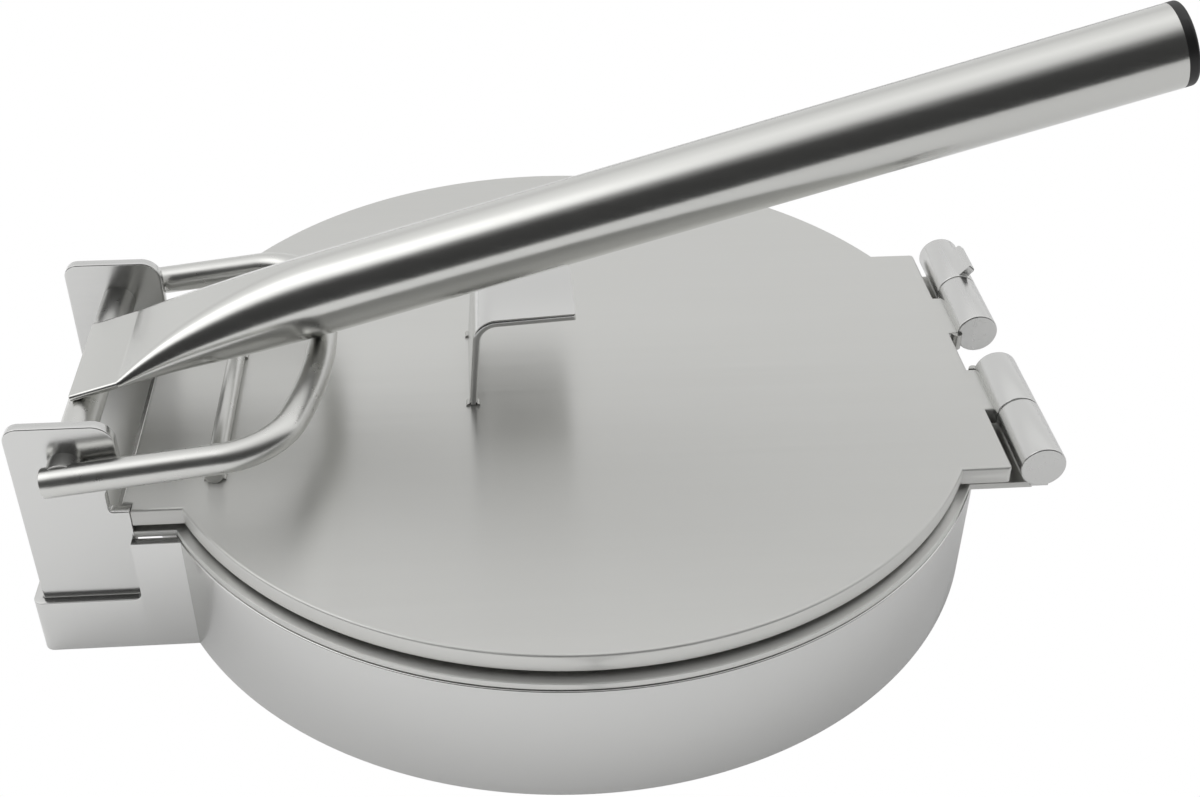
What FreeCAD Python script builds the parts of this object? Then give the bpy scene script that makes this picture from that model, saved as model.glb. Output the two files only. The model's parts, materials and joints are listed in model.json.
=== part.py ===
"""Stainless steel tortilla press: a round drum base, a fixed lower plate, a hinged
upper plate, and a long lever whose handle bears on a bracket on the upper plate."""
import math
import os

import FreeCAD
import Part

from FreeCAD import Vector

# All lengths are in millimetres and all angles in degrees.
# While the pieces are made, x = 0 and y = 0 are the drum's axis and z = 0 is the table.
# The hinges lie at +x, the lever's pivot at -x, and -y is the side nearest the viewer.

# The two round plates and the drum ring below them
plate_dia = 240.0
plate_thick = 5.2
plate_edge = 0.7
plate_low_edge = 0.25
tab_corner = 1.2
tortilla_gap = 2.0
lower_margin = 1.0
lower_thick = 2.2
lower_edge = 0.25
ring_margin = 2.5
ring_wall = 2.4
ring_height = 37.3
ring_edge = 0.25
rim_gap = 0.2

# Lugs inside the ring that carry the lower plate
lug_count = 4
lug_width = 22.0
lug_leg = 12.0
lug_thick = 2.4
lug_first_angle = 0.0

# Lever side: the cheeks, the tabs of both plates and the sheet band round the cheeks
lever_y = -18.3
tab_half = 41.2
tab_gap = 0.2
tongue_reach = 2.7
cheek_thick = 3.0
cheek_inset = 2.2
cheek_width = 27.6
cheek_top = 74.5
cheek_foot = 1.0
cheek_left_round = 4.0
cheek_right_round = 5.5
cheek_edge = 0.35
notch_depth = 5.2
notch_height = 9.0
notch_drop = 0.4
notch_low_round = 1.2
notch_top_round = 3.8
lower_tongue_inset = 3.4
rest_width = 5.0
rest_end_gap = 1.5
band_thick = 2.4
band_end_gap = 0.2
band_low = 17.6
band_step_inset = 0.9
band_bend_inner = 0.4
band_step_round = 2.0

# Pivot rod, handle tube, end cap and bent bar
pivot_inset = 13.3
pivot_z = 62.1
pivot_dia = 9.5
pivot_clearance = 0.06
handle_angle = 16.56
handle_offset = 4.8
tube_dia = 22.2
tube_wall = 1.0
tube_start = -0.8
tube_end = 299.9
press_gap = 0.1
flat_length = 13.0
flat_spread = 2.4
spread_length = 20.0
squeeze_length = 60.0
squeeze_steps = 8
least_flat = 0.04
cap_thick = 3.0
cap_round = 1.0
cap_plug = 12.0
cap_plug_wall = 1.6
cap_fit = 0.05
bar_dia = 8.0
bar_side_gap = 1.4
bar_tail = 4.8
bar_reach = 63.4
bar_bend = 18.0
bar_bow = 110.0
bar_tube_gap = 0.05

# Hinges: a barrel of two knuckles on a hidden pin, at each end of the right tab
hinge_out = 8.35
barrel_dia = 12.7
barrel_lift = 0.35
hinge_outer = 57.0
hinge_joint = 33.0
hinge_inner = 9.5
hinge_tongue_inset = 3.0
knuckle_gap = 0.3
knuckle_edge = 0.5
foot_width = 5.0
pin_dia = 6.0
pin_clearance = 0.05
pin_reach = 17.0
pin_end_gap = 0.5
right_tab_half = 56.9
right_tab_gap = 8.65
lower_tab_half = 54.6
lower_tab_gap = 1.15
lower_tab_inset = 0.5
lower_ear_start = 26.0
stop_length = 13.0
stop_thick = 2.6
stop_offset = 4.2
stop_height = 9.5
stop_angle = 41.0
stop_edge = 0.9

# Pressure bracket and round bar on the upper plate
bracket_x = -28.5
bracket_half = 19.0
bracket_thick = 2.2
bracket_height = 28.4
bracket_reach = 28.3
bracket_lean = 4.5
bracket_rise = 3.6
bracket_bend_inner = 5.0
plate_bar_inset = 20.9
plate_bar_dia = 5.0
plate_bar_half = 31.3
plate_bar_edge = 0.3

# Weld beads: full ones, and the small tacks on the upper plate
bead = 1.6
bead_length = 7.0
tack = 0.9
tack_length = 2.6
saddle_dia = 4.5

# Places along x, all worked out from the round plate's size
ring_dia = plate_dia + 2 * ring_margin
lower_dia = plate_dia + 2 * lower_margin
cheek_right = -plate_dia / 2 + cheek_inset
cheek_left = cheek_right - cheek_width
pivot_x = cheek_right - pivot_inset
band_left = cheek_left - band_end_gap - band_thick
band_step_x = cheek_right - band_step_inset
lower_tongue_left = cheek_left + lower_tongue_inset
plate_bar_x = cheek_right + plate_bar_inset
hinge_x = plate_dia / 2 + hinge_out
right_tab_end = hinge_x - right_tab_gap
lower_tab_end = hinge_x - lower_tab_gap

# Heights, and places across, worked out from the sizes above
lower_bottom = ring_height + rim_gap
lower_top = lower_bottom + lower_thick
plate_bottom = lower_top + tortilla_gap
plate_top = plate_bottom + plate_thick
hinge_z = lower_top + barrel_lift + barrel_dia / 2
near_face = lever_y - tab_half
far_face = lever_y + tab_half
near_inner = near_face + cheek_thick
far_inner = far_face - cheek_thick
near_bar_y = near_face - bar_side_gap - bar_dia / 2
far_bar_y = far_face + bar_side_gap + bar_dia / 2
tab_left = cheek_right + tab_gap

x_axis = Vector(1, 0, 0)
y_axis = Vector(0, 1, 0)
z_axis = Vector(0, 0, 1)


def box(x0, x1, y0, y1, z0, z1):
    """A box between two corners."""
    return Part.makeBox(x1 - x0, y1 - y0, z1 - z0, Vector(x0, y0, z0))


def disc(dia, z0, z1):
    """An upright cylinder on the drum's axis."""
    return Part.makeCylinder(dia / 2, z1 - z0, Vector(0, 0, z0))


def rod(start, end, dia):
    """A round rod between two points."""
    return Part.makeCylinder(dia / 2, (end - start).Length, start, end - start)


def outline(corners):
    """A closed wire in which each (point, radius) corner is turned by an arc."""
    arcs = []
    count = len(corners)
    for i, (point, radius) in enumerate(corners):
        before = (corners[i - 1][0] - point).normalize()
        after = (corners[(i + 1) % count][0] - point).normalize()
        half = before.getAngle(after) / 2
        reach = radius / math.tan(half)
        middle = (before + after).normalize()
        crown = point + middle * (radius / math.sin(half) - radius)
        arcs.append((point + before * reach, crown, point + after * reach, radius))
    edges = []
    for i, (first, crown, last, radius) in enumerate(arcs):
        if radius > 0:
            edges.append(Part.Arc(first, crown, last).toShape())
        edges.append(Part.LineSegment(last, arcs[(i + 1) % count][0]).toShape())
    return Part.Wire(edges)


def prism(corners, along):
    """The solid that a rounded outline sweeps along a straight line."""
    return Part.Face(outline(corners)).extrude(along)


def rounded(shape, radius, choose):
    """The shape with a fillet on each edge that the test picks."""
    edges = [edge for edge in shape.Edges if choose(edge)]
    return shape.makeFillet(radius, edges)


def lies_at(edge, z):
    """True for an edge that lies in the level plane at this height."""
    return abs(edge.BoundBox.ZMin - z) + abs(edge.BoundBox.ZMax - z) < ring_edge / 10


def upright(edge):
    """True for a straight edge that runs up and down."""
    return isinstance(edge.Curve, Part.Line) and abs(edge.tangentAt(0).z) > 0.99


def base_ring():
    """The round skirt of the drum, open above and below."""
    ring = disc(ring_dia, 0, ring_height).cut(disc(ring_dia - 2 * ring_wall, 0, ring_height))
    return rounded(ring, ring_edge, lambda edge: True)


def plate_seat_lugs():
    """Angle lugs inside the ring: their shelves carry the lower plate."""
    inside = ring_dia - 2 * ring_wall
    leg = disc(inside, lower_bottom - lug_leg, lower_bottom)
    leg = leg.cut(disc(inside - 2 * lug_thick, lower_bottom - lug_leg, lower_bottom))
    shelf = disc(inside, lower_bottom - lug_thick, lower_bottom)
    shelf = shelf.cut(disc(inside - 2 * lug_leg, lower_bottom - lug_thick, lower_bottom))
    angle = leg.fuse(shelf)
    lugs = []
    for i in range(lug_count):
        slot = box(0, inside, -lug_width / 2, lug_width / 2, 0, lower_bottom)
        slot.rotate(Vector(0, 0, 0), z_axis, lug_first_angle + 360 * i / lug_count)
        lugs.append(angle.common(slot).removeSplitter().Solids[0])
    return Part.makeCompound(lugs)


def base_bracket():
    """The bent sheet band round the cheeks, deep beside the drum and shallow beyond."""
    outside = [(Vector(-ring_dia / 4, near_face - band_thick, 0), 0),
               (Vector(-ring_dia / 4, far_face + band_thick, 0), 0),
               (Vector(band_left, far_face + band_thick, 0), band_bend_inner + band_thick),
               (Vector(band_left, near_face - band_thick, 0), band_bend_inner + band_thick)]
    inside = [(Vector(-ring_dia / 4, near_face, 0), 0),
              (Vector(-ring_dia / 4, far_face, 0), 0),
              (Vector(band_left + band_thick, far_face, 0), band_bend_inner),
              (Vector(band_left + band_thick, near_face, 0), band_bend_inner)]
    band = prism(outside, z_axis * ring_height).cut(prism(inside, z_axis * ring_height))
    beyond = band_left - band_thick
    across = near_face - 2 * band_thick
    step = prism([(Vector(beyond, across, band_low), 0),
                  (Vector(band_step_x, across, band_low), band_step_round),
                  (Vector(band_step_x, across, ring_height), 0),
                  (Vector(beyond, across, ring_height), 0)], y_axis * 2 * (tab_half + 2 * band_thick))
    return band.cut(step).cut(disc(ring_dia, 0, ring_height))


def cheek(y0, band):
    """One upright side plate: it holds the pivot rod and stands inside the band."""
    notch_low = plate_top - notch_drop
    notch_high = notch_low + notch_height
    notch_left = cheek_right - notch_depth
    blank = prism([(Vector(cheek_left, y0, cheek_foot), 0),
                   (Vector(cheek_right, y0, cheek_foot), 0),
                   (Vector(cheek_right, y0, notch_low), 0),
                   (Vector(notch_left, y0, notch_low), notch_low_round),
                   (Vector(notch_left, y0, notch_high), notch_top_round),
                   (Vector(cheek_right, y0, notch_high), notch_low_round),
                   (Vector(cheek_right, y0, cheek_top), cheek_right_round),
                   (Vector(cheek_left, y0, cheek_top), cheek_left_round)], y_axis * cheek_thick)
    crown = [edge for edge in blank.Edges if edge.BoundBox.ZMin > notch_high
             and edge.BoundBox.YLength < cheek_thick / 2]
    blank = blank.makeFillet(cheek_edge, crown)
    bore = pivot_dia + 2 * pivot_clearance
    hole = rod(Vector(pivot_x, y0, pivot_z), Vector(pivot_x, y0 + cheek_thick, pivot_z), bore)
    return blank.cut(hole).cut(disc(ring_dia, 0, ring_height)).cut(band)


def lower_plate():
    """The fixed pressing plate, with a tab between the cheeks and an ear under each hinge."""
    plate = disc(lower_dia, lower_bottom, lower_top)
    wide = box(cheek_right, 0, near_face, far_face, lower_bottom, lower_top)
    tongue = box(lower_tongue_left, 0, near_inner, far_inner, lower_bottom, lower_top)
    right = box(0, lower_tab_end, -lower_tab_half, lower_tab_half, lower_bottom, lower_top)
    beside = box(-lower_dia, cheek_right, -lower_dia, lower_dia, lower_bottom, lower_top)
    between = box(right_tab_end - lower_tab_inset, hinge_x, -lower_ear_start, lower_ear_start,
                  lower_bottom, lower_top)
    eased = rounded(plate.fuse(right).removeSplitter(), lower_edge, lambda edge: lies_at(edge, lower_top))
    return eased.cut([beside, between]).fuse([wide, tongue]).removeSplitter()


def plate_rest_strip():
    """A strip on the lower plate: the upper plate's tongue stops on it."""
    x1 = cheek_right - lower_edge
    return box(x1 - rest_width, x1, near_inner + rest_end_gap, far_inner - rest_end_gap,
               lower_top, plate_bottom)


def knuckle(side, joint_y, end_y, fixed):
    """One knuckle of a hinge, bored blind from the joint for the pin."""
    body = rod(Vector(hinge_x, side * joint_y, hinge_z), Vector(hinge_x, side * end_y, hinge_z), barrel_dia)
    body = body.makeChamfer(knuckle_edge, [e for e in body.Edges if isinstance(e.Curve, Part.Circle)])
    if fixed:
        low, high = sorted((side * joint_y, side * end_y))
        foot_top = hinge_z - (barrel_dia + pin_dia) / 4
        foot = box(hinge_x - foot_width / 2, hinge_x + foot_width / 2, low + knuckle_edge, high - knuckle_edge,
                   lower_top, foot_top)
        body = body.fuse(foot)
    inward = math.copysign(1, end_y - joint_y)
    depth = pin_reach if fixed else pin_reach + pin_end_gap
    bore = pin_dia if fixed else pin_dia + 2 * pin_clearance
    mouth = Vector(hinge_x, side * joint_y, hinge_z)
    return body.cut(rod(mouth, mouth + y_axis * side * inward * depth, bore))


def inner_knuckle(side):
    """The knuckle that turns with the upper plate."""
    return knuckle(side, hinge_joint, hinge_inner, False)


def outer_knuckle(side):
    """The knuckle that is welded to the lower plate."""
    return knuckle(side, hinge_joint + knuckle_gap, hinge_outer, True)


def hinge_pin(side):
    """The hidden pin: fixed in the outer knuckle, running in the inner one."""
    start = Vector(hinge_x, side * (hinge_joint + knuckle_gap + pin_reach), hinge_z)
    end = Vector(hinge_x, side * (hinge_joint - pin_reach), hinge_z)
    return rod(start, end, pin_dia)


def hinge_stop_block():
    """A small upright tab on the far outer knuckle: the opened plate leans on it."""
    y0 = hinge_joint + knuckle_gap + knuckle_edge
    tab = box(hinge_x - stop_offset, hinge_x - stop_offset + stop_thick, y0, y0 + stop_length,
              hinge_z, hinge_z + stop_height)
    tab = rounded(tab, stop_edge, lambda edge: lies_at(edge, hinge_z + stop_height))
    tab.rotate(Vector(hinge_x, 0, hinge_z), y_axis, stop_angle)
    barrel = rod(Vector(hinge_x, 0, hinge_z), Vector(hinge_x, hinge_outer, hinge_z), barrel_dia)
    return tab.cut(barrel)


def upper_plate():
    """The hinged pressing plate, with its edges eased and tongues for the hinges."""
    plate = disc(plate_dia, plate_bottom, plate_top)
    left = box(tab_left, 0, near_face, far_face, plate_bottom, plate_top)
    right = box(0, right_tab_end, -right_tab_half, right_tab_half, plate_bottom, plate_top)
    beside = box(-plate_dia, tab_left, -plate_dia, plate_dia, plate_bottom, plate_top)
    whole = plate.cut(beside).fuse([left, right]).removeSplitter()
    whole = rounded(whole, tab_corner, lambda edge: upright(edge) and edge.BoundBox.XMin > 0)
    whole = rounded(whole, plate_edge, lambda edge: lies_at(edge, plate_top))
    whole = rounded(whole, plate_low_edge, lambda edge: lies_at(edge, plate_bottom))
    end = tab_left - tongue_reach
    pieces = [box(end, end + 2 * tongue_reach + tab_corner, near_inner + tab_gap, far_inner - tab_gap,
                  plate_bottom, plate_top)]
    for side in (-1, 1):
        low, high = sorted((side * hinge_inner, side * (hinge_joint - hinge_tongue_inset)))
        pieces.append(box(right_tab_end - tab_corner, hinge_x, low, high, plate_bottom, plate_top))
    barrel = rod(Vector(hinge_x, -hinge_outer, hinge_z), Vector(hinge_x, hinge_outer, hinge_z), barrel_dia)
    return whole.fuse(pieces).removeSplitter().cut(barrel)


def tilted(point, angle):
    """A point of the lever's own plane, raised about the pivot by an angle."""
    turn = math.radians(angle)
    u, v = point
    return Vector(pivot_x + u * math.cos(turn) - v * math.sin(turn), lever_y,
                  pivot_z + u * math.sin(turn) + v * math.cos(turn))


def press_bracket():
    """The bent strip on the upper plate that the handle is pressed down on."""
    lean = math.radians(bracket_lean)
    rise = math.radians(bracket_rise)
    leg = Vector(math.sin(lean), 0, math.cos(lean))
    leg_side = Vector(math.cos(lean), 0, -math.sin(lean))
    flange = Vector(math.cos(rise), 0, math.sin(rise))
    flange_down = Vector(math.sin(rise), 0, -math.cos(rise))
    foot = Vector(bracket_x, -bracket_half, plate_top)
    knee = foot + leg * bracket_height
    tip = knee + flange * bracket_reach
    inner_knee = knee + (leg_side + flange_down) * (bracket_thick / (1 + math.sin(lean + rise)))
    inner_foot = foot + x_axis * (bracket_thick / math.cos(lean))
    return prism([(foot, 0), (knee, bracket_bend_inner + bracket_thick), (tip, 0),
                  (tip + flange_down * bracket_thick, 0), (inner_knee, bracket_bend_inner),
                  (inner_foot, 0)], y_axis * 2 * bracket_half)


def plate_bar():
    """The round grip bar that lies across the upper plate."""
    z = plate_top + plate_bar_dia / 2
    start = Vector(plate_bar_x, lever_y - plate_bar_half, z)
    bar = rod(start, start + y_axis * 2 * plate_bar_half, plate_bar_dia)
    return rounded(bar, plate_bar_edge, lambda edge: isinstance(edge.Curve, Part.Circle))


def squeeze(s):
    """How far the tube is pressed flat at s along it: 1 is flat and 0 is round."""
    share = min(1, max(0, (s - flat_length) / squeeze_length))
    return (1 - share) ** 2


def spread(s):
    """How much wider the pressed end is on its near side at s along the tube."""
    share = min(1, max(0, (s - flat_length) / spread_length))
    return flat_spread * (1 - share) ** 2


def tube_section(s, inset):
    """The tube's outline at s along its axis, as two straights and two half circles."""
    round_height = tube_dia - 2 * least_flat / math.pi
    flat_height = 2 * tube_wall + press_gap
    height = round_height + (flat_height - round_height) * squeeze(s)
    straight = (math.pi * tube_dia - math.pi * height) / 2
    radius = height / 2 - inset
    lift = pivot_dia / 2 + flat_height / 2 - handle_offset
    v = handle_offset + lift * squeeze(s)
    low = tilted((s, v - radius), handle_angle)
    high = tilted((s, v + radius), handle_angle)
    middle = tilted((s, v), handle_angle)
    near = y_axis * (straight / 2 + spread(s))
    far = y_axis * (straight / 2)
    bulge = y_axis * radius
    return Part.Wire([Part.LineSegment(low - near, low + far).toShape(),
                      Part.Arc(low + far, middle + far + bulge, high + far).toShape(),
                      Part.LineSegment(high + far, high - near).toShape(),
                      Part.Arc(high - near, middle - near - bulge, low - near).toShape()])


def tube_solid(inset, start, end):
    """The tube's body with its wall taken off by an inset: flat, then easing to round."""
    steps = [flat_length + squeeze_length * i / squeeze_steps for i in range(squeeze_steps + 1)]
    flat = Part.makeLoft([tube_section(start, inset), tube_section(steps[0], inset)], True, True)
    neck = Part.makeLoft([tube_section(s, inset) for s in steps], True, False)
    straight = Part.makeLoft([tube_section(steps[-1], inset), tube_section(end, inset)], True, True)
    return flat.fuse([neck, straight])


def handle_tube():
    """The handle: a long tube whose end is pressed flat over the pivot rod."""
    return tube_solid(0, tube_start, tube_end).cut(tube_solid(tube_wall, tube_start, tube_end))


def handle_end_cap():
    """The plastic cap that closes the handle, with a plug inside the tube."""
    start = tilted((tube_end, handle_offset), handle_angle)
    along = (tilted((tube_end + cap_thick, handle_offset), handle_angle) - start).normalize()
    end = start + along * cap_thick
    head = rod(start, end, tube_dia)
    head = rounded(head, cap_round, lambda edge: (edge.CenterOfMass - end).Length < cap_thick / 2)
    plug_dia = tube_dia - 2 * tube_wall - 2 * cap_fit
    plug = rod(start - along * cap_plug, start, plug_dia)
    hollow = rod(start - along * cap_plug, start, plug_dia - 2 * cap_plug_wall)
    return head.fuse(plug.cut(hollow))


def bar_angle():
    """The slope at which the bent bar's crosspiece touches the tube from below."""
    apart = (tube_dia + bar_dia) / 2 + bar_tube_gap
    return handle_angle - math.degrees(math.asin((apart - handle_offset) / bar_reach))


def u_bar():
    """The bent round bar: an arm outside each cheek, and a bowed crosspiece under the handle."""
    slope = bar_angle()
    half = far_bar_y - lever_y
    bow_u = bar_reach - bar_bow
    bend_y = half - bar_bend
    bend_u = bow_u + math.sqrt((bar_bow - bar_bend) ** 2 - bend_y ** 2)
    meet = math.atan2(bend_u - bow_u, bend_y)
    middle = meet / 2
    meet_u = bend_u + bar_bend * math.sin(meet)
    meet_y = bend_y + bar_bend * math.cos(meet)
    knee_u = bend_u + bar_bend * math.sin(middle)
    knee_y = bend_y + bar_bend * math.cos(middle)
    near = [tilted((u, 0), slope) - y_axis * y for u, y in
            ((-bar_tail, half), (bend_u, half), (knee_u, knee_y), (meet_u, meet_y))]
    far = [tilted((u, 0), slope) + y_axis * y for u, y in
           ((-bar_tail, half), (bend_u, half), (knee_u, knee_y), (meet_u, meet_y))]
    crown = tilted((bar_reach, 0), slope)
    path = Part.Wire([Part.LineSegment(near[0], near[1]).toShape(),
                      Part.Arc(near[1], near[2], near[3]).toShape(),
                      Part.Arc(near[3], crown, far[3]).toShape(),
                      Part.Arc(far[3], far[2], far[1]).toShape(),
                      Part.LineSegment(far[1], far[0]).toShape()])
    section = Part.Wire(Part.Circle(near[0], near[1] - near[0], bar_dia / 2).toShape())
    return path.makePipeShell([section], True, False)


def pivot_rod(bar):
    """The rod that turns in both cheeks, coped at its ends to the bent bar's arms."""
    whole = rod(Vector(pivot_x, near_bar_y, pivot_z), Vector(pivot_x, far_bar_y, pivot_z), pivot_dia)
    pieces = whole.cut(bar).Solids
    return max(pieces, key=lambda piece: piece.Volume)


def above_plate():
    """The space just above the upper plate, for trimming what is welded to it."""
    return box(-plate_dia, plate_dia, -plate_dia, plate_dia, plate_top, plate_top + tube_dia)


def beads_along_y(places, radius, length, neighbours):
    """Short weld beads along Y at (x, y, z) places, trimmed to fit their neighbours."""
    half = y_axis * (length / 2)
    solids = []
    for place in places:
        solids.extend(rod(place - half, place + half, 2 * radius).cut(neighbours).Solids)
    return solids


def plate_tacks(places, piece):
    """Small weld tacks that stand on the upper plate beside a piece."""
    runs = beads_along_y(places, tack, tack_length, [piece])
    space = above_plate()
    return Part.makeCompound([solid for run in runs for solid in run.common(space).Solids])


def bracket_weld_beads(bracket):
    """Tacks at both ends of the pressure bracket's foot, on both of its sides."""
    foot = bracket_thick / math.cos(math.radians(bracket_lean))
    end = bracket_half - tack_length / 2
    return plate_tacks([Vector(x, y, plate_top) for x in (bracket_x, bracket_x + foot)
                        for y in (-end, end)], bracket)


def bar_weld_beads(bar):
    """Tacks beside both ends of the grip bar."""
    end = plate_bar_half - tack_length
    out = (plate_bar_dia - tack) / 2
    return plate_tacks([Vector(plate_bar_x + side * out, lever_y + way * end, plate_top)
                        for side in (-1, 1) for way in (-1, 1)], bar)


def cheek_weld_beads():
    """Beads in the corners between the cheeks and the lower plate's tongue."""
    x0 = (lower_tongue_left + cheek_right - bead_length) / 2
    beads = []
    for y, inward in ((near_inner, 1), (far_inner, -1)):
        beads.append(prism([(Vector(x0, y, lower_top), 0), (Vector(x0, y + inward * bead, lower_top), 0),
                            (Vector(x0, y, lower_top + bead), 0)], x_axis * bead_length))
    return Part.makeCompound(beads)


def knuckle_weld_beads(plate, knuckles):
    """Upright beads where the plate's tongues meet the ends of the inner knuckles."""
    beads = []
    for side in (-1, 1):
        foot = Vector(hinge_x - barrel_dia / 2, side * hinge_inner, plate_bottom)
        run = rod(foot, foot + z_axis * plate_thick, 2 * bead)
        beads.extend(run.cut([plate] + knuckles).Solids)
    return Part.makeCompound(beads)


def lever_weld_beads(bar, turning_rod):
    """Beads that join the pressed tube end to the pivot rod, and the tube to the bent bar."""
    tube = tube_solid(0, tube_start, tube_end)
    corner = tilted((pivot_dia / 2, pivot_dia / 2), handle_angle)
    at_rod = beads_along_y([corner - y_axis * bead_length, corner + y_axis * bead_length],
                           bead, bead_length, [tube, turning_rod])
    start = tilted((bar_reach, 0), bar_angle())
    up = tilted((0, bar_dia), handle_angle) - tilted((0, 0), handle_angle)
    at_bar = rod(start, start + up, saddle_dia).cut([tube, bar]).Solids
    return Part.makeCompound(at_rod + at_bar)


def right_end():
    """The furthest point that the cap's rounded rim reaches to the right."""
    turn = math.radians(handle_angle)
    u = tube_end + cap_thick - cap_round
    v = tube_dia / 2 - cap_round
    return pivot_x + u * math.cos(turn) + (v - handle_offset) * math.sin(turn) + cap_round


def assembly():
    """Every piece by its name, in the drum's own place."""
    band = base_bracket()
    bracket = press_bracket()
    grip = plate_bar()
    bar = u_bar()
    turning_rod = pivot_rod(bar)
    plate = upper_plate()
    turning_knuckles = [inner_knuckle(-1), inner_knuckle(1)]
    return {
        "base_ring": base_ring(),
        "base_bracket": band,
        "lower_plate": lower_plate(),
        "plate_seat_lugs": plate_seat_lugs(),
        "plate_rest_strip": plate_rest_strip(),
        "cheek_near": cheek(near_face, band),
        "cheek_far": cheek(far_inner, band),
        "cheek_weld_beads": cheek_weld_beads(),
        "outer_knuckle_near": outer_knuckle(-1),
        "outer_knuckle_far": outer_knuckle(1),
        "hinge_pin_near": hinge_pin(-1),
        "hinge_pin_far": hinge_pin(1),
        "hinge_stop_block": hinge_stop_block(),
        "upper_plate": plate,
        "inner_knuckle_near": turning_knuckles[0],
        "inner_knuckle_far": turning_knuckles[1],
        "knuckle_weld_beads": knuckle_weld_beads(plate, turning_knuckles),
        "press_bracket": bracket,
        "bracket_weld_beads": bracket_weld_beads(bracket),
        "plate_bar": grip,
        "bar_weld_beads": bar_weld_beads(grip),
        "pivot_rod": turning_rod,
        "handle_tube": handle_tube(),
        "handle_end_cap": handle_end_cap(),
        "u_bar": bar,
        "lever_weld_beads": lever_weld_beads(bar, turning_rod),
    }


def main():
    """Centre the assembly over the origin and write one file for each piece."""
    os.makedirs("parts", exist_ok=True)
    shift = Vector(-(band_left + right_end()) / 2, 0, 0)
    for name, shape in assembly().items():
        shape.translate(shift)
        shape.exportStep(f"parts/{name}.step")
        size = shape.BoundBox
        print(f"{name}: {len(shape.Solids)} solids, {shape.Volume:.0f} mm3, valid {shape.isValid()}, "
              f"x {size.XMin:.2f} to {size.XMax:.2f}, y {size.YMin:.2f} to {size.YMax:.2f}, "
              f"z {size.ZMin:.2f} to {size.ZMax:.2f}")
    print(f"shift {shift.x:.4f}, pivot x {pivot_x + shift.x:.4f} z {pivot_z:.3f}, "
          f"hinge x {hinge_x + shift.x:.4f} z {hinge_z:.3f}, lever y {lever_y:.3f}")


main()
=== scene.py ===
import bpy
import json
import math
import numpy as np
from mathutils import Matrix, Vector


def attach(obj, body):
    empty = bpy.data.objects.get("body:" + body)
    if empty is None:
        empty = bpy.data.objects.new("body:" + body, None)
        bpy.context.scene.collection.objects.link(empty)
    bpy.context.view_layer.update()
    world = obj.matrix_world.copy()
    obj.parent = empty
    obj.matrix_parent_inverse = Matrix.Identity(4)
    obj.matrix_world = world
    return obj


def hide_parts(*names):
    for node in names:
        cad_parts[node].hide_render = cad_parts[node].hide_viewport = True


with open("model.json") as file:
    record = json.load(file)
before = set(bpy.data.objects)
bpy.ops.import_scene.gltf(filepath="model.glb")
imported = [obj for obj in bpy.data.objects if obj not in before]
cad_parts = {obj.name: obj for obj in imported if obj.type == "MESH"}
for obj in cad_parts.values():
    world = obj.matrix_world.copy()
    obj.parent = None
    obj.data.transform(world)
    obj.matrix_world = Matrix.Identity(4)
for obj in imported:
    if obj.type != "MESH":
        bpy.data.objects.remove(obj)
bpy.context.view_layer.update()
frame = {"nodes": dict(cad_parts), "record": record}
nodes = frame["nodes"]
scene = bpy.context.scene
mm = 0.001
creaseAngle = 35.0            # degrees between faces above which an edge is drawn sharp
faceInset = 0.3               # mm that the first ring of a flat end lies inside its rim
print("frame loaded:", len(nodes), "nodes")


# camera: stands in front and above, and looks a little from the left
camera = {
    "place": (-29.01, -377.77, 310.17),   # mm
    "azimuth": -5.05,
    "elevation": 36.06,
    "roll": 0.81,
    "focalPixels": 1545.4,                # on a picture 1200 pixels wide
    "pictureWidth": 1200,
    "sensor": 36.0,
}


def makeCamera(c):
    data = bpy.data.cameras.new("camera")
    data.sensor_width = c["sensor"]
    data.lens = c["focalPixels"] / c["pictureWidth"] * c["sensor"]
    data.clip_start = 0.01
    data.clip_end = 50
    eye = bpy.data.objects.new("camera", data)
    scene.collection.objects.link(eye)
    az, el, roll = (math.radians(c[k]) for k in ("azimuth", "elevation", "roll"))
    back = Vector((math.sin(az) * math.cos(el), -math.cos(az) * math.cos(el), math.sin(el)))
    level = Vector((math.cos(az), math.sin(az), 0))
    lift = back.cross(level)
    right = level * math.cos(roll) + lift * math.sin(roll)
    up = lift * math.cos(roll) - level * math.sin(roll)
    turn = Matrix((right, up, back)).transposed().to_4x4()
    eye.matrix_world = Matrix.Translation(Vector(c["place"]) * mm) @ turn
    scene.camera = eye


makeCamera(camera)
print("camera made")


# studio: white floor that ends in front, a world in long soft bands, and one light high at the left
# to the camera all of it is plain white; the bands and the floor's shade are what the steel mirrors
studio = {
    "floorHalf": 3.0,
    "floorFront": -0.95,
    "floorColour": (0.88, 0.88, 0.88),
    # painted glow on the floor, stronger at the left than at the right, which only the steel's reflections show
    "floorGlow": [(-0.30, 0.32), (0.20, 0.07)],   # its own light at two places along x
    # level of the world by degrees up from the front, over the top and down to the back
    "bands": [(0, 0.05), (48, 0.06), (61, 0.28), (75, 0.84), (90, 1.05), (103, 1.20), (120, 1.04), (133, 0.94),
              (145, 0.80), (156, 0.84), (180, 0.90)],
    "leftLight": (-0.62, -0.10, 0.778),
    "leftEdge": (0.90, 0.985),            # cosine from its middle at which it starts and is full
    "leftLevel": 0.8,
}


def nodeTree(owner):
    owner.use_nodes = True
    tree = owner.node_tree
    tree.nodes.clear()
    return tree


def addNode(tree, kind, **values):
    node = tree.nodes.new(kind)
    for name, value in values.items():
        if hasattr(node, name):
            setattr(node, name, value)
        else:
            node.inputs[name.replace("_", " ")].default_value = value
    return node


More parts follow.
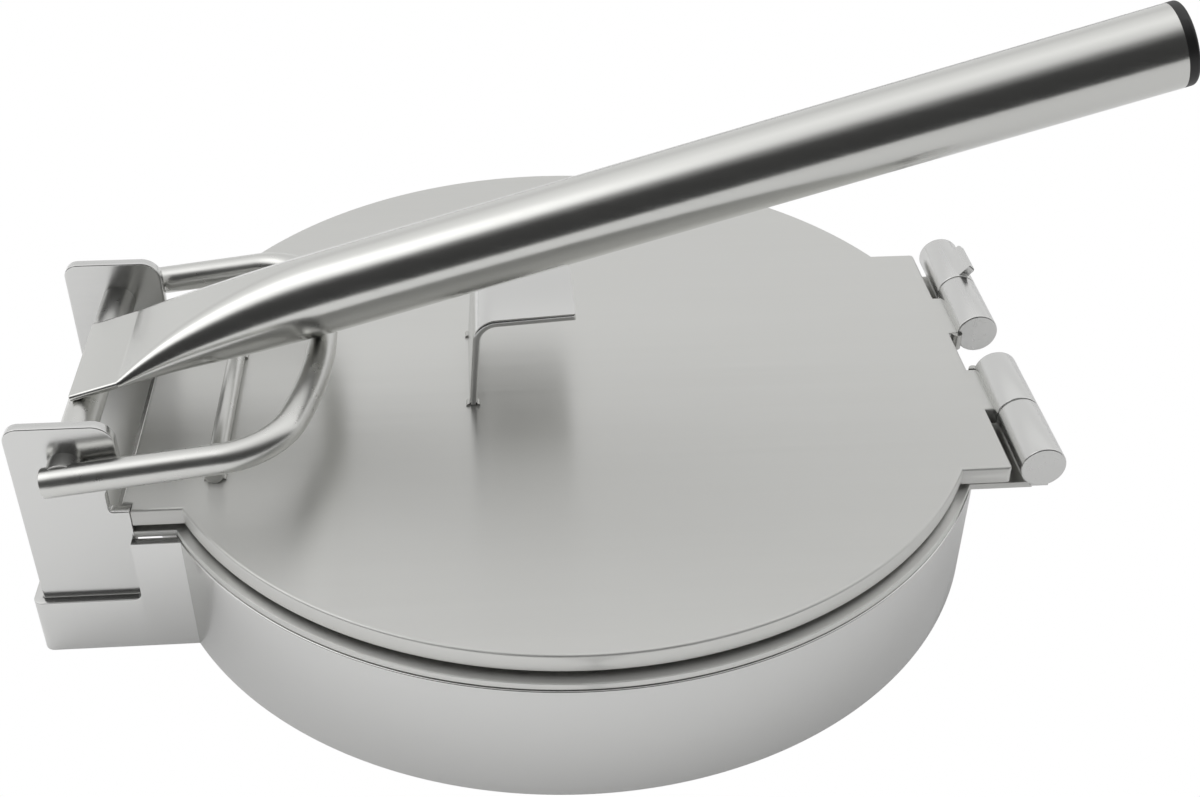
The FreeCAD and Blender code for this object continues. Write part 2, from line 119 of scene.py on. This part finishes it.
def makeWorld(s):
    world = bpy.data.worlds.new("studio")
    scene.world = world
    tree = nodeTree(world)
    link = tree.links.new
    where = addNode(tree, "ShaderNodeTexCoord")
    split = addNode(tree, "ShaderNodeSeparateXYZ")
    forward = addNode(tree, "ShaderNodeMath", operation="MULTIPLY")
    forward.inputs[1].default_value = -1.0
    turn = addNode(tree, "ShaderNodeMath", operation="ARCTAN2")
    share = addNode(tree, "ShaderNodeMath", operation="DIVIDE")
    share.inputs[1].default_value = math.pi
    ramp = addNode(tree, "ShaderNodeValToRGB")
    while len(ramp.color_ramp.elements) < len(s["bands"]):
        ramp.color_ramp.elements.new(0.5)
    top = max(level for place, level in s["bands"])
    for element, (degrees, level) in zip(ramp.color_ramp.elements, s["bands"]):
        element.position = degrees / 180
        element.color = (level / top, level / top, level / top, 1)
    near = addNode(tree, "ShaderNodeVectorMath", operation="DOT_PRODUCT")
    near.inputs[1].default_value = s["leftLight"]
    inside = addNode(tree, "ShaderNodeMapRange", interpolation_type="SMOOTHSTEP")
    inside.inputs["From Min"].default_value = s["leftEdge"][0]
    inside.inputs["From Max"].default_value = s["leftEdge"][1]
    inside.inputs["To Max"].default_value = s["leftLevel"] / top
    total = addNode(tree, "ShaderNodeMath", operation="ADD")
    lit = addNode(tree, "ShaderNodeBackground", Strength=top)
    seen = addNode(tree, "ShaderNodeBackground", Color=(1, 1, 1, 1), Strength=1.0)
    rays = addNode(tree, "ShaderNodeLightPath")
    mix = addNode(tree, "ShaderNodeMixShader")
    out = addNode(tree, "ShaderNodeOutputWorld")
    link(where.outputs["Generated"], split.inputs[0])
    link(split.outputs["Y"], forward.inputs[0])
    link(split.outputs["Z"], turn.inputs[0])
    link(forward.outputs[0], turn.inputs[1])
    link(turn.outputs[0], share.inputs[0])
    link(share.outputs[0], ramp.inputs[0])
    link(where.outputs["Generated"], near.inputs[0])
    link(near.outputs["Value"], inside.inputs["Value"])
    link(ramp.outputs["Color"], total.inputs[0])
    link(inside.outputs["Result"], total.inputs[1])
    link(total.outputs[0], lit.inputs["Color"])
    link(rays.outputs["Is Camera Ray"], mix.inputs[0])
    link(lit.outputs[0], mix.inputs[1])
    link(seen.outputs[0], mix.inputs[2])
    link(mix.outputs[0], out.inputs[0])


# the floor is plain white where the camera sees it, and takes light and shadow where the steel mirrors it
def makeFloor(s):
    half, front = s["floorHalf"], s["floorFront"]
    mesh = bpy.data.meshes.new("floor")
    mesh.from_pydata([(-half, front, 0), (half, front, 0), (half, half, 0), (-half, half, 0)], [], [(0, 1, 2, 3)])
    floor = bpy.data.objects.new("floor", mesh)
    scene.collection.objects.link(floor)
    paint = bpy.data.materials.new("floorPaint")
    tree = nodeTree(paint)
    link = tree.links.new
    body = addNode(tree, "ShaderNodeBsdfPrincipled", Roughness=0.9)
    body.inputs["Base Color"].default_value = (*s["floorColour"], 1)
    body.inputs["Specular IOR Level"].default_value = 0.0
    body.inputs["Emission Color"].default_value = (1, 1, 1, 1)
    # painted glow: the floor gives off light of its own, fading from the left to the right along x
    (startX, startGlow), (endX, endGlow) = s["floorGlow"]
    where = addNode(tree, "ShaderNodeTexCoord")
    split = addNode(tree, "ShaderNodeSeparateXYZ")
    glow = addNode(tree, "ShaderNodeMapRange")
    glow.inputs["From Min"].default_value = startX
    glow.inputs["From Max"].default_value = endX
    glow.inputs["To Min"].default_value = startGlow
    glow.inputs["To Max"].default_value = endGlow
    link(where.outputs["Object"], split.inputs[0])
    link(split.outputs["X"], glow.inputs["Value"])
    link(glow.outputs["Result"], body.inputs["Emission Strength"])
    seen = addNode(tree, "ShaderNodeEmission", Strength=1.0)
    rays = addNode(tree, "ShaderNodeLightPath")
    mix = addNode(tree, "ShaderNodeMixShader")
    out = addNode(tree, "ShaderNodeOutputMaterial")
    link(rays.outputs["Is Camera Ray"], mix.inputs[0])
    link(body.outputs[0], mix.inputs[1])
    link(seen.outputs[0], mix.inputs[2])
    link(mix.outputs[0], out.inputs[0])
    mesh.materials.append(paint)


scene.view_settings.view_transform = "Standard"
makeWorld(studio)
makeFloor(studio)
print("studio made")


# finishes: the grain is noise cells per metre along x, y and z, so a low number draws it out along that axis
grainSpread = 0.05            # how far the grain takes the roughness up and down
grainDepth = 0.0002           # m
capFinish = {"colour": (0.012, 0.012, 0.012), "roughness": 0.45}
finishes = {
    "plate_steel": {"colour": (0.70, 0.70, 0.68), "roughness": 0.38, "grain": (9, 900, 900), "bump": 0.02,
                    "brushed": 0.9},
    "sheet_steel": {"colour": (0.66, 0.66, 0.65), "roughness": 0.21, "grain": (60, 60, 900), "bump": 0.006},
    "tube_steel": {"colour": (0.64, 0.64, 0.62), "roughness": 0.20, "grain": (8, 700, 700), "bump": 0.03},
    "rod_steel": {"colour": (0.64, 0.64, 0.62), "roughness": 0.29, "grain": (300, 300, 300), "bump": 0.01},
    "hinge_steel": {"colour": (0.66, 0.66, 0.65), "roughness": 0.26, "grain": (600, 10, 600), "bump": 0.02},
    "weld_steel": {"colour": (0.52, 0.52, 0.50), "roughness": 0.32, "grain": (400, 400, 400), "bump": 0.2},
}


def steel(name, f):
    paint = bpy.data.materials.new(name)
    tree = nodeTree(paint)
    link = tree.links.new
    where = addNode(tree, "ShaderNodeTexCoord")
    stretch = addNode(tree, "ShaderNodeMapping")
    stretch.inputs["Scale"].default_value = f["grain"]
    noise = addNode(tree, "ShaderNodeTexNoise", Scale=1.0, Detail=3.0)
    spread = addNode(tree, "ShaderNodeMapRange")
    spread.inputs["To Min"].default_value = f["roughness"] - grainSpread
    spread.inputs["To Max"].default_value = f["roughness"] + grainSpread
    bump = addNode(tree, "ShaderNodeBump", Strength=f["bump"], Distance=grainDepth)
    body = addNode(tree, "ShaderNodeBsdfPrincipled", Metallic=1.0)
    body.inputs["Base Color"].default_value = (*f["colour"], 1)
    # a plate brushed along x spreads its reflections along y
    if "brushed" in f:
        body.inputs["Anisotropic"].default_value = f["brushed"]
        across = addNode(tree, "ShaderNodeCombineXYZ", X=0.0, Y=1.0, Z=0.0)
        link(across.outputs[0], body.inputs["Tangent"])
    out = addNode(tree, "ShaderNodeOutputMaterial")
    link(where.outputs["Object"], stretch.inputs[0])
    link(stretch.outputs[0], noise.inputs["Vector"])
    link(noise.outputs["Fac"], spread.inputs["Value"])
    link(spread.outputs[0], body.inputs["Roughness"])
    link(noise.outputs["Fac"], bump.inputs["Height"])
    link(bump.outputs[0], body.inputs["Normal"])
    link(body.outputs[0], out.inputs[0])
    return paint


def plastic(name, f):
    paint = bpy.data.materials.new(name)
    tree = nodeTree(paint)
    body = addNode(tree, "ShaderNodeBsdfPrincipled", Roughness=f["roughness"])
    body.inputs["Base Color"].default_value = (*f["colour"], 1)
    out = addNode(tree, "ShaderNodeOutputMaterial")
    tree.links.new(body.outputs[0], out.inputs[0])
    return paint


paints = {name: steel(name, f) for name, f in finishes.items()}
paints["black_cap"] = plastic("black_cap", capFinish)
slotOf = {row["node"]: row["material_slot"] for row in frame["record"]["subparts"]}
for name, node in nodes.items():
    node.data.materials.clear()
    node.data.materials.append(paints[slotOf[name]])
print("finishes set")


# the part's sizes in mm and degrees, as its source has them before it is centred over the origin
# drawn a little off the source to look like the photo: the lower plate's diameter and the small edge radii
shiftX = -6.3942
plate = {"dia": 240.0, "low": 41.7, "top": 46.9, "edge": 0.7, "lowEdge": 0.25, "tabHalf": 56.9, "tabEnd": 119.7,
         "tabCorner": 1.2, "rightSteps": [(119.7, 30.0), (124.2, 30.0), (124.2, 9.8), (119.7, 9.8)],
         "leftEnd": -117.6, "near": -59.5, "tongueEnd": -120.3, "tongueNear": -56.3, "tongueFar": 19.7}
lower = {"dia": 244.4, "low": 37.5, "top": 39.7, "edge": 0.25, "lowEdge": 0.5, "tabHalf": 54.6, "tabEnd": 127.2,
         "tabCorner": 0.0, "rightSteps": [(127.2, 26.0), (119.2, 26.0)],
         "leftEnd": -117.8, "near": -59.5, "tongueEnd": -142.0, "tongueNear": -56.5, "tongueFar": 19.9}
skirt = {"dia": 245.0, "wall": 2.4, "height": 37.3, "edge": 0.35}
band = {"left": -148.0, "near": -61.9, "far": 25.3, "thick": 2.4, "low": 17.6, "high": 37.3, "stepX": -118.7,
        "stepRound": 2.0, "outerRound": 2.8, "edge": 0.2, "nearEnd": -105.0, "farEnd": -119.2}
side = {"left": -145.4, "right": -117.8, "foot": 1.0, "top": 74.5, "thick": 3.0, "leftRound": 4.0, "rightRound": 5.5,
        "notchLow": 46.5, "notchHigh": 55.5, "notchLeft": -123.0, "notchLowRound": 1.2, "notchTopRound": 3.8,
        "edge": 0.35, "nearPlace": -59.5, "farPlace": 19.9}
hinge = {"x": 128.35, "z": 46.4, "dia": 12.7, "edge": 0.5, "outer": 57.0, "joint": 33.0, "gap": 0.3, "inner": 9.5,
         "footWidth": 5.0, "footLow": 39.7, "footTop": 41.7, "footEdge": 0.1}
presser = {"x": -28.5, "half": 19.0, "thick": 2.2, "height": 28.4, "reach": 28.3, "lean": 4.5, "rise": 3.6,
           "bend": 5.0, "edge": 0.8}
grip = {"x": -96.9, "dia": 5.0, "half": 31.3, "edge": 0.3}
lever = {"x": -131.1, "y": -18.3, "z": 62.1, "angle": 16.56, "rodDia": 9.5, "rodEdge": 0.2, "offset": 4.8,
         "tubeDia": 22.2, "wall": 1.0, "start": -0.8, "end": 299.9, "mouth": 6.0, "pressGap": 0.1, "flat": 13.0,
         "neck": 60.0, "spread": 2.4, "spreadLength": 20.0, "edge": 0.25}
cap = {"thick": 3.0, "round": 1.0}
loop = {"dia": 8.0, "slope": 7.160, "half": 46.6, "tail": 4.8, "reach": 63.4, "bend": 18.0, "bow": 110.0, "edge": 0.4}


# quads between stacked closed rings of equal count, with a flat face at both ends unless the stack closes on itself
def loft(rings, closed=False):
    rings = np.asarray(rings, float)
    count, around = rings.shape[:2]
    index = np.arange(count * around).reshape(count, around)
    low, high = (index, np.roll(index, -1, 0)) if closed else (index[:-1], index[1:])
    faces = np.stack([low, np.roll(low, -1, 1), np.roll(high, -1, 1), high], -1).reshape(-1, 4).tolist()
    if not closed:
        faces += [index[0][::-1].tolist(), index[-1].tolist()]
    return rings.reshape(-1, 3), faces


# one mesh from parts in mm; soft normals, but creases stay sharp
def addPiece(name, parts, body, slotName, *replaced):
    points, faces, start = [], [], 0
    for some, quads in parts:
        points.append(some)
        faces += [[i + start for i in quad] for quad in quads]
        start += len(some)
    points = (np.concatenate(points) + (shiftX, 0, 0)) * mm
    mesh = bpy.data.meshes.new(name)
    mesh.from_pydata(points.tolist(), [], faces)
    mesh.update()
    mesh.shade_smooth()
    mesh.set_sharp_from_angle(angle=math.radians(creaseAngle))
    mesh.materials.append(paints[slotName])
    piece = bpy.data.objects.new(name, mesh)
    scene.collection.objects.link(piece)
    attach(piece, body)
    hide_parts(*replaced)
    return piece


# dense closed outline from (a, b, radius) corners listed anticlockwise: an arc of that radius turns each corner
def outline(corners, turn=6.0):
    dense = []
    count = len(corners)
    for i, (a, b, radius) in enumerate(corners):
        here = np.array((a, b))
        before = np.array(corners[i - 1][:2]) - here
        after = np.array(corners[(i + 1) % count][:2]) - here
        before /= np.linalg.norm(before)
        after /= np.linalg.norm(after)
        half = math.acos(np.clip(before @ after, -1, 1)) / 2
        if radius == 0:
            dense.append(here)
            continue
        middle = (before + after) / np.linalg.norm(before + after)
        centre = here + middle * radius / math.sin(half)
        first = here + before * radius / math.tan(half) - centre
        last = here + after * radius / math.tan(half) - centre
        sweep = math.pi - 2 * half
        steps = max(3, int(math.degrees(sweep) / turn) + 1)
        for t in np.linspace(0, 1, steps + 1):
            dense.append(centre + (first * math.sin((1 - t) * sweep) + last * math.sin(t * sweep)) / math.sin(sweep))
    return np.array(dense)


# outward normals of an outline, lengthened at its corners so that an inset keeps its width
def mitres(flat):
    along = np.roll(flat, -1, 0) - flat
    along /= np.linalg.norm(along, axis=1)[:, None]
    after = np.stack([along[:, 1], -along[:, 0]], 1)
    before = np.roll(after, 1, 0)
    return (after + before) / (1 + (after * before).sum(1))[:, None]


# a plate: the outline at rising heights, drawn in along quarter circles at its lower and upper edge
def slab(flat, low, high, edge, steps=4, lowEdge=None):
    out = mitres(flat)
    turns = np.linspace(0, math.pi / 2, steps + 1)
    under = edge if lowEdge is None else lowEdge
    rows = [(under + faceInset, low)]
    rows += [(under * (1 - math.sin(t)), low + under * (1 - math.cos(t))) for t in turns]
    rows += [(edge * (1 - math.cos(t)), high - edge * (1 - math.sin(t))) for t in turns]
    rows.append((edge + faceInset, high))
    rings = [np.column_stack([flat - out * inset, np.full(len(flat), height)]) for inset, height in rows]
    return loft(rings)


# a slab drawn in x and z that is thick along y
def uprightSlab(flat, near, far, edge):
    points, faces = slab(flat, -far, -near, edge)
    return np.column_stack([points[:, 0], -points[:, 2], points[:, 1]]), faces


# circles of given radii at given distances along a straight axis
def lathe(start, axis, profile, sides=96, closed=False):
    axis = np.array(axis, float) / np.linalg.norm(axis)
    first = np.cross(axis, (0.0, 1.0, 0.0) if abs(axis[1]) < 0.9 else (1.0, 0.0, 0.0))
    first /= np.linalg.norm(first)
    second = np.cross(axis, first)
    turns = np.linspace(0, 2 * math.pi, sides, endpoint=False)
    circle = np.outer(np.cos(turns), first) + np.outer(np.sin(turns), second)
    return loft([np.array(start) + axis * s + circle * radius for s, radius in profile], closed)


# the profile of a round bar whose ends are eased by quarter circles
def roundBar(length, radius, edge, steps=4):
    turns = np.linspace(0, math.pi / 2, steps + 1)
    head = [(0, radius - edge - 0.2)] + [(edge * (1 - math.cos(t)), radius - edge * (1 - math.sin(t))) for t in turns]
    return head + [(length - s, r) for s, r in reversed(head)]


def disc(radius, count, first, last):
    turns = np.radians(np.linspace(first, last, count))
    return np.column_stack([np.cos(turns), np.sin(turns)]) * radius


# round plate with a straight tab and a tongue at the left, and a tab with steps in its end at the right
def plateOutline(p):
    radius = p["dia"] / 2
    nearTurn = math.degrees(math.asin(p["near"] / radius))
    farY = math.sqrt(radius ** 2 - p["leftEnd"] ** 2)
    tabTurn = math.degrees(math.asin(p["tabHalf"] / radius))
    steps = [(x, -y, 0) for x, y in p["rightSteps"]] + [(x, y, 0) for x, y in reversed(p["rightSteps"])]
    # the first two corners close the loop inside the disc and are left out again
    tab = outline([(radius * 0.7, p["tabHalf"], 0), (radius * 0.7, -p["tabHalf"], 0),
                   (p["tabEnd"], -p["tabHalf"], p["tabCorner"]), *steps,
                   (p["tabEnd"], p["tabHalf"], p["tabCorner"])])[2:]
    parts = [[(p["leftEnd"], p["near"])],
             disc(radius, 200, 180 - nearTurn, 360 - tabTurn), tab,
             disc(radius, 240, tabTurn, 180 - math.degrees(math.asin(farY / radius))),
             [(p["leftEnd"], p["tongueFar"]), (p["tongueEnd"], p["tongueFar"]),
              (p["tongueEnd"], p["tongueNear"]), (p["leftEnd"], p["tongueNear"])]]
    return np.concatenate([np.array(some, float) for some in parts])


def flatBox(x0, x1, y0, y1, z0, z1, edge):
    return slab(outline([(x0, y0, 0), (x1, y0, 0), (x1, y1, 0), (x0, y1, 0)]), z0, z1, edge)


def makePlates():
    for name, p, body, node in (("upperPlate", plate, "press_plate", "upper_plate"),
                                ("lowerPlate", lower, "base", "lower_plate")):
        whole = slab(plateOutline(p), p["low"], p["top"], p["edge"], 6, p["lowEdge"])
        addPiece(name, [whole], body, "plate_steel", node)


def makeDrum():
    s = skirt
    outer, inner, e, h = s["dia"] / 2, s["dia"] / 2 - s["wall"], s["edge"], s["height"]
    turns = np.linspace(0, math.pi / 2, 5)
    profile = [(e * (1 - math.cos(t)), outer - e * (1 - math.sin(t))) for t in turns]
    profile += [(h - e * (1 - math.sin(t)), outer - e * (1 - math.cos(t))) for t in turns]
    profile += [(h - e * (1 - math.cos(t)), inner + e * (1 - math.sin(t))) for t in turns]
    profile += [(e * (1 - math.sin(t)), inner + e * (1 - math.cos(t))) for t in turns]
    addPiece("drumRing", [lathe((0, 0, 0), (0, 0, 1), profile, 360, True)], "base", "sheet_steel", "base_ring")


# sheet band: an upright rounded rectangle carried round three sides of the cheeks
# its height steps up beside the drum, on the near side only
def makeBand():
    b = band
    half, e = b["thick"] / 2, b["edge"]
    x, near, far = b["left"] + half, b["near"] + half, b["far"] - half
    radius = b["outerRound"] - half
    stations = [(b["nearEnd"], near, 0, -1, b["high"]), (b["stepX"] + e, near, 0, -1, b["high"])]
    for t in np.linspace(0, math.pi / 2, 4)[1:]:
        stations.append((b["stepX"] + e * (1 - math.sin(t)), near, 0, -1, b["high"] - e * (1 - math.cos(t))))
    for t in np.linspace(0, math.pi / 2, 7):
        stations.append((b["stepX"] - 0.02 - b["stepRound"] * (1 - math.cos(t)), near, 0, -1,
                         b["low"] + b["stepRound"] * (1 - math.sin(t))))
    for t in np.linspace(0, math.pi / 2, 13):
        stations.append((x + radius * (1 - math.sin(t)), near + radius * (1 - math.cos(t)),
                         -math.sin(t), -math.cos(t), b["low"]))
    for t in np.linspace(0, math.pi / 2, 13):
        stations.append((x + radius * (1 - math.cos(t)), far - radius * (1 - math.sin(t)),
                         -math.cos(t), math.sin(t), b["low"]))
    stations.append((b["farEnd"], far, 0, 1, b["low"]))
    turns = np.linspace(0, math.pi / 2, 4)
    rings = []
    for px, py, nx, ny, top in stations:
        section = [(half - e * (1 - math.sin(t)), e * (1 - math.cos(t))) for t in turns]
        section += [(half - e * (1 - math.cos(t)), top - e * (1 - math.sin(t))) for t in turns]
        section += [(-half + e * (1 - math.sin(t)), top - e * (1 - math.cos(t))) for t in turns]
        section += [(-half + e * (1 - math.cos(t)), e * (1 - math.sin(t))) for t in turns]
        rings.append([(px + nx * d, py + ny * d, z) for d, z in section])
    addPiece("sheetBand", [loft(rings)], "base", "sheet_steel", "base_bracket")


def makeCheeks():
    c = side
    flat = outline([(c["left"], c["foot"], 0), (c["right"], c["foot"], 0), (c["right"], c["notchLow"], 0),
                    (c["notchLeft"], c["notchLow"], c["notchLowRound"]),
                    (c["notchLeft"], c["notchHigh"], c["notchTopRound"]),
                    (c["right"], c["notchHigh"], c["notchLowRound"]),
                    (c["right"], c["top"], c["rightRound"]), (c["left"], c["top"], c["leftRound"])])
    for name, place, node in (("nearCheek", c["nearPlace"], "cheek_near"), ("farCheek", c["farPlace"], "cheek_far")):
        addPiece(name, [uprightSlab(flat, place, place + c["thick"], c["edge"])], "base", "sheet_steel", node)


def makeHinges():
    h = hinge
    for way, word in ((-1, "near"), (1, "far")):
        inner = h["joint"] - h["inner"]
        outer = h["outer"] - h["joint"] - h["gap"]
        y0, y1 = sorted((way * (h["joint"] + h["gap"] + h["edge"]), way * (h["outer"] - h["edge"])))
        foot = flatBox(h["x"] - h["footWidth"] / 2, h["x"] + h["footWidth"] / 2, y0, y1, h["footLow"], h["footTop"],
                       h["footEdge"])
        addPiece(word + "OuterKnuckle",
                 [lathe((h["x"], way * (h["joint"] + h["gap"]), h["z"]), (0, way, 0),
                        roundBar(outer, h["dia"] / 2, h["edge"])), foot],
                 "base", "hinge_steel", "outer_knuckle_" + word)
        addPiece(word + "InnerKnuckle",
                 [lathe((h["x"], way * h["inner"], h["z"]), (0, way, 0), roundBar(inner, h["dia"] / 2, h["edge"]))],
                 "press_plate", "hinge_steel", "inner_knuckle_" + word)


# bent strip: a leaning leg from the plate, a bend, and a flange that rises a little
def makePresser():
    b = presser
    lean, rise = math.radians(b["lean"]), math.radians(b["rise"])
    leg = np.array((math.sin(lean), math.cos(lean)))
    legSide = np.array((math.cos(lean), -math.sin(lean)))
    flange = np.array((math.cos(rise), math.sin(rise)))
    flangeDown = np.array((math.sin(rise), -math.cos(rise)))
    foot = np.array((b["x"], plate["top"]))
    knee = foot + leg * b["height"]
    tip = knee + flange * b["reach"]
    innerKnee = knee + (legSide + flangeDown) * b["thick"] / (1 + math.sin(lean + rise))
    innerFoot = foot + np.array((b["thick"] / math.cos(lean), 0))
    flat = outline([(*foot, 0), (*innerFoot, 0), (*innerKnee, b["bend"]), (*(tip + flangeDown * b["thick"]), 0),
                    (*tip, 0), (*knee, b["bend"] + b["thick"])], 4.0)
    addPiece("pressBracket", [uprightSlab(flat, -b["half"], b["half"], b["edge"])],
             "press_plate", "sheet_steel", "press_bracket")


def makeGrip():
    g = grip
    addPiece("gripBar", [lathe((g["x"], lever["y"] - g["half"], plate["top"] + g["dia"] / 2), (0, 1, 0),
                               roundBar(2 * g["half"], g["dia"] / 2, g["edge"]), 64)],
             "press_plate", "rod_steel", "plate_bar")


# a point of the lever's plane, u along and v up, raised about the pivot
def tilted(u, v, angle):
    turn = math.radians(angle)
    return np.array((lever["x"] + u * math.cos(turn) - v * math.sin(turn), lever["y"],
                     lever["z"] + u * math.sin(turn) + v * math.cos(turn)))


# tube section: two straights and two half circles that keep the round tube's girth, with points evenly spaced on it
# the square of what is left of the neck says how flat it is; the end's near side is pressed wider than that girth
def tubeRing(s, inset, count=160):
    v = lever
    left = 1 - min(1, max(0, (s - v["flat"]) / v["neck"]))
    squeeze = left ** 2
    flatHeight = 2 * v["wall"] + v["pressGap"]
    height = v["tubeDia"] + (flatHeight - v["tubeDia"]) * squeeze
    straight = math.pi * (v["tubeDia"] - height) / 2
    radius = height / 2
    place = v["offset"] + (v["rodDia"] / 2 + flatHeight / 2 - v["offset"]) * squeeze
    wider = v["spread"] * (1 - min(1, max(0, (s - v["flat"]) / v["spreadLength"]))) ** 2
    arc = math.pi * radius
    ring = []
    for way in (1, -1):
        middle = straight / 2 + (wider if way == 1 else 0)
        for walked in np.linspace(0, arc + straight + wider, count // 2, endpoint=False):
            turn = min(walked, arc) / radius - math.pi / 2
            across = middle + (radius - inset) * math.cos(turn) - max(0, walked - arc)
            ring.append((way * across, place + way * (radius - inset) * math.sin(turn)))
    # listed anticlockwise as seen from the far end
    return np.array([tilted(s, b, v["angle"]) + (0, -a, 0) for a, b in ring])[::-1]


def makeHandle():
    v = lever
    e = v["edge"]
    rings = [tubeRing(v["start"] + v["mouth"], v["wall"]), tubeRing(v["start"] + 0.1, v["wall"])]
    rings += [tubeRing(v["start"] + e * (1 - math.cos(t)), e * (1 - math.sin(t)))
              for t in np.linspace(0, math.pi / 2, 4)]
    rings += [tubeRing(s, 0) for s in np.linspace(v["flat"] - 4, v["flat"] - 0.05, 3)]
    rings += [tubeRing(s, 0) for s in v["flat"] + v["neck"] * np.linspace(0, 1, 61)]
    rings += [tubeRing(s, 0) for s in np.linspace(v["flat"] + v["neck"] + 5, v["end"], 12)]
    addPiece("handleTube", [loft(rings)], "lever", "tube_steel", "handle_tube")
    start = tilted(v["end"], v["offset"], v["angle"])
    axis = tilted(v["end"] + 1, v["offset"], v["angle"]) - start
    radius, r = v["tubeDia"] / 2, cap["round"]
    profile = [(0, radius - 0.6), (0, radius - 0.1), (0.1, radius), (cap["thick"] - r, radius)]
    profile += [(cap["thick"] - r * (1 - math.sin(t)), radius - r * (1 - math.cos(t)))
                for t in np.linspace(0, math.pi / 2, 7)]
    profile.append((cap["thick"], radius - r - 0.5))
    addPiece("endCap", [lathe(start, axis, profile)], "lever", "black_cap", "handle_end_cap")


# bent bar: straight arms, a tight corner each, and a crosspiece bowed on one wide arc
# all of it lies in a plane through the pivot
def makeLoop():
    b = loop
    bowU = b["reach"] - b["bow"]
    bendY = b["half"] - b["bend"]
    bendU = bowU + math.sqrt((b["bow"] - b["bend"]) ** 2 - bendY ** 2)
    meet = math.atan2(bendU - bowU, bendY)
    path = [(s, b["half"]) for s in np.linspace(-b["tail"], bendU, 14)[:-1]]
    path += [(bendU + b["bend"] * math.sin(t), bendY + b["bend"] * math.cos(t))
             for t in np.linspace(0, meet, 24)[:-1]]
    path += [(bowU + b["bow"] * math.sin(t), b["bow"] * math.cos(t)) for t in np.linspace(meet, math.pi / 2, 16)[1:]]
    path = path + [(u, -y) for u, y in reversed(path[:-1])]
    path = np.array([tilted(u, 0, b["slope"]) - (0, y, 0) for u, y in path])
    along = np.gradient(path, axis=0)
    along /= np.linalg.norm(along, axis=1)[:, None]
    up = tilted(0, 1, b["slope"]) - tilted(0, 0, b["slope"])
    turns = np.linspace(0, 2 * math.pi, 48, endpoint=False)
    radius, e = b["dia"] / 2, b["edge"]

    def ring(place, way, r):
        return place + r * (np.outer(np.cos(turns), up) + np.outer(np.sin(turns), np.cross(way, up)))

    ease = [(e * (1 - math.cos(t)), radius - e * (1 - math.sin(t))) for t in np.linspace(0, math.pi / 2, 5)]
    rings = [ring(path[0], along[0], radius - e - faceInset)]
    rings += [ring(path[0] + along[0] * s, along[0], r) for s, r in ease]
    rings += [ring(place, way, radius) for place, way in zip(path[1:-1], along[1:-1])]
    rings += [ring(path[-1] - along[-1] * s, along[-1], r) for s, r in reversed(ease)]
    rings.append(ring(path[-1], along[-1], radius - e - faceInset))
    addPiece("bentBar", [loft(rings)], "lever", "rod_steel", "u_bar")
    ends = b["half"]
    addPiece("pivotRod", [lathe((lever["x"], lever["y"] - ends, lever["z"]), (0, 1, 0),
                                roundBar(2 * ends, lever["rodDia"] / 2, lever["rodEdge"]), 64)],
             "lever", "rod_steel", "pivot_rod")


for make in (makePlates, makeDrum, makeBand, makeCheeks, makeHinges, makePresser, makeGrip, makeHandle, makeLoop):
    make()
    print(make.__name__, "done")
